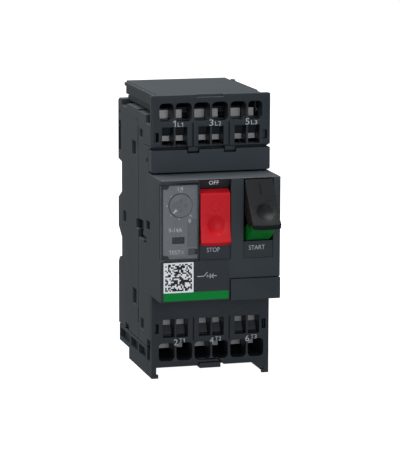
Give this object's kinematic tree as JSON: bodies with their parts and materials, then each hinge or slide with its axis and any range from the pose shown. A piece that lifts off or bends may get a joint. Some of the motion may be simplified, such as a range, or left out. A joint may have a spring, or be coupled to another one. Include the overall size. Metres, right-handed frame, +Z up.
{
  "type": "motor protection breaker",
  "caption": "Three-pole motor protection breaker for a 35 mm rail, with spring-clamp terminals, a setting dial under a clear cover and rocking start and stop keys.",
  "frame": {"origin": "middle of the central pad's rear face, in the plane of the rear feet", "axes": "+X across the front to the right, +Y to the back towards the mounting surface, +Z up towards the line terminals"},
  "size_m": [0.045, 0.0773, 0.1051],
  "materials": {
    "housing": "fine-grained moulded dark grey, satin",
    "cover": "moulded dark slate, satin",
    "clear": "clear smoke-tinted polycarbonate, polished",
    "label": "printed film, satin",
    "dial": "moulded mid grey, satin",
    "black_key": "moulded black, satin",
    "red_key": "moulded signal red, semi-gloss",
    "green_skirt": "moulded green, satin",
    "steel": "plated spring and sheet steel",
    "dark_steel": "blackened sheet steel",
    "contact": "copper alloy, bright",
    "coil": "enamelled copper winding",
    "inner_black": "moulded black, matt"
  },
  "bodies": {
    "housing": {"rear_housing": "housing", "front_housing": "housing", "upper_terminal_cover": "cover", "lower_terminal_cover": "cover", "marker_strip": "cover", "blank_plate": "cover", "label_plate": "label", "scale_plate": "dial", "mechanism_frame": "dark_steel", "key_pivot_pin": "steel", "lever_pin": "steel", "main_spring": "steel", "rail_latch_spring": "steel", "line_terminal_1": "contact", "load_terminal_1": "contact", "arc_chute_1": "steel", "bimetal_1": "steel", "trip_coil_1": "coil", "line_clamp_1a": "steel", "line_clamp_1b": "steel", "load_clamp_1a": "steel", "load_clamp_1b": "steel", "line_terminal_2": "contact", "load_terminal_2": "contact", "arc_chute_2": "steel", "bimetal_2": "steel", "trip_coil_2": "coil", "line_clamp_2a": "steel", "line_clamp_2b": "steel", "load_clamp_2a": "steel", "load_clamp_2b": "steel", "line_terminal_3": "contact", "load_terminal_3": "contact", "arc_chute_3": "steel", "bimetal_3": "steel", "trip_coil_3": "coil", "line_clamp_3a": "steel", "line_clamp_3b": "steel", "load_clamp_3a": "steel", "load_clamp_3b": "steel"},
    "stop_key": {"stop_key": "red_key"},
    "start_key": {"start_key": "black_key", "start_key_skirt": "green_skirt"},
    "dial_cover": {"dial_cover": "clear"},
    "setting_dial": {"setting_dial": "dial"},
    "test_slider": {"test_slider": "cover"},
    "trip_bar": {"trip_bar": "inner_black"},
    "latch_lever": {"latch_lever": "steel"},
    "contact_carrier": {"contact_carrier": "inner_black", "moving_contact_1": "contact", "moving_contact_2": "contact", "moving_contact_3": "contact"},
    "rail_latch": {"rail_latch": "inner_black"},
    "plunger_1": {"plunger_1": "steel"},
    "plunger_2": {"plunger_2": "steel"},
    "plunger_3": {"plunger_3": "steel"}
  },
  "joints": [
    {"name": "start_key_hinge", "type": "hinge", "parent": "housing", "child": "start_key", "pos_m": [0.0142, -0.0575, 0.0184], "axis": [1, 0, 0], "range_deg": [0, 32]},
    {"name": "stop_key_hinge", "type": "hinge", "parent": "housing", "child": "stop_key", "pos_m": [-0.0021, -0.0575, 0.0184], "axis": [1, 0, 0], "range_deg": [-12, 0]},
    {"name": "contact_carrier_slide", "type": "slide", "parent": "housing", "child": "contact_carrier", "axis": [0, 1, 0], "range_m": [0, 0.003]},
    {"name": "latch_lever_turn", "type": "hinge", "parent": "housing", "child": "latch_lever", "pos_m": [0.0075, -0.0528, 0.0148], "axis": [1, 0, 0], "range_deg": [0, 12.8]},
    {"name": "dial_cover_hinge", "type": "hinge", "parent": "housing", "child": "dial_cover", "pos_m": [-0.0217, -0.06515, 0.0059], "axis": [0, 0, -1], "range_deg": [0, 115]},
    {"name": "setting_dial_turn", "type": "hinge", "parent": "housing", "child": "setting_dial", "pos_m": [-0.0147, -0.0642, 0.012], "axis": [0, 1, 0], "range_deg": [-90, 135]},
    {"name": "test_slider_slide", "type": "slide", "parent": "housing", "child": "test_slider", "axis": [-1, 0, 0], "range_m": [0, 0.0012], "stiffness_N_per_m": 300, "springref_m": -0.0005},
    {"name": "trip_bar_turn", "type": "hinge", "parent": "housing", "child": "trip_bar", "pos_m": [0, -0.0252, -0.0056], "axis": [1, 0, 0], "range_deg": [0, 8]},
    {"name": "rail_latch_slide", "type": "slide", "parent": "housing", "child": "rail_latch", "axis": [0, 0, -1], "range_m": [0, 0.003], "stiffness_N_per_m": 900, "springref_m": -0.003, "deforming": ["rail_latch_spring"]},
    {"name": "plunger_slide_1", "type": "slide", "parent": "housing", "child": "plunger_1", "axis": [0, 0, 1], "range_m": [0, 0.002], "stiffness_N_per_m": 100, "springref_m": -0.001},
    {"name": "plunger_slide_2", "type": "slide", "parent": "housing", "child": "plunger_2", "axis": [0, 0, 1], "range_m": [0, 0.002], "stiffness_N_per_m": 100, "springref_m": -0.001},
    {"name": "plunger_slide_3", "type": "slide", "parent": "housing", "child": "plunger_3", "axis": [0, 0, 1], "range_m": [0, 0.002], "stiffness_N_per_m": 100, "springref_m": -0.001}
  ],
  "couplings": [
    {"joint": "stop_key_hinge", "follows": "start_key_hinge", "ratio": -0.375},
    {"joint": "contact_carrier_slide", "follows": "start_key_hinge", "m_per_rad": 0.005371},
    {"joint": "latch_lever_turn", "follows": "start_key_hinge", "ratio": 0.4},
    {"joint": "trip_bar_turn", "follows": "test_slider_slide", "rad_per_m": 116.34}
  ]
}
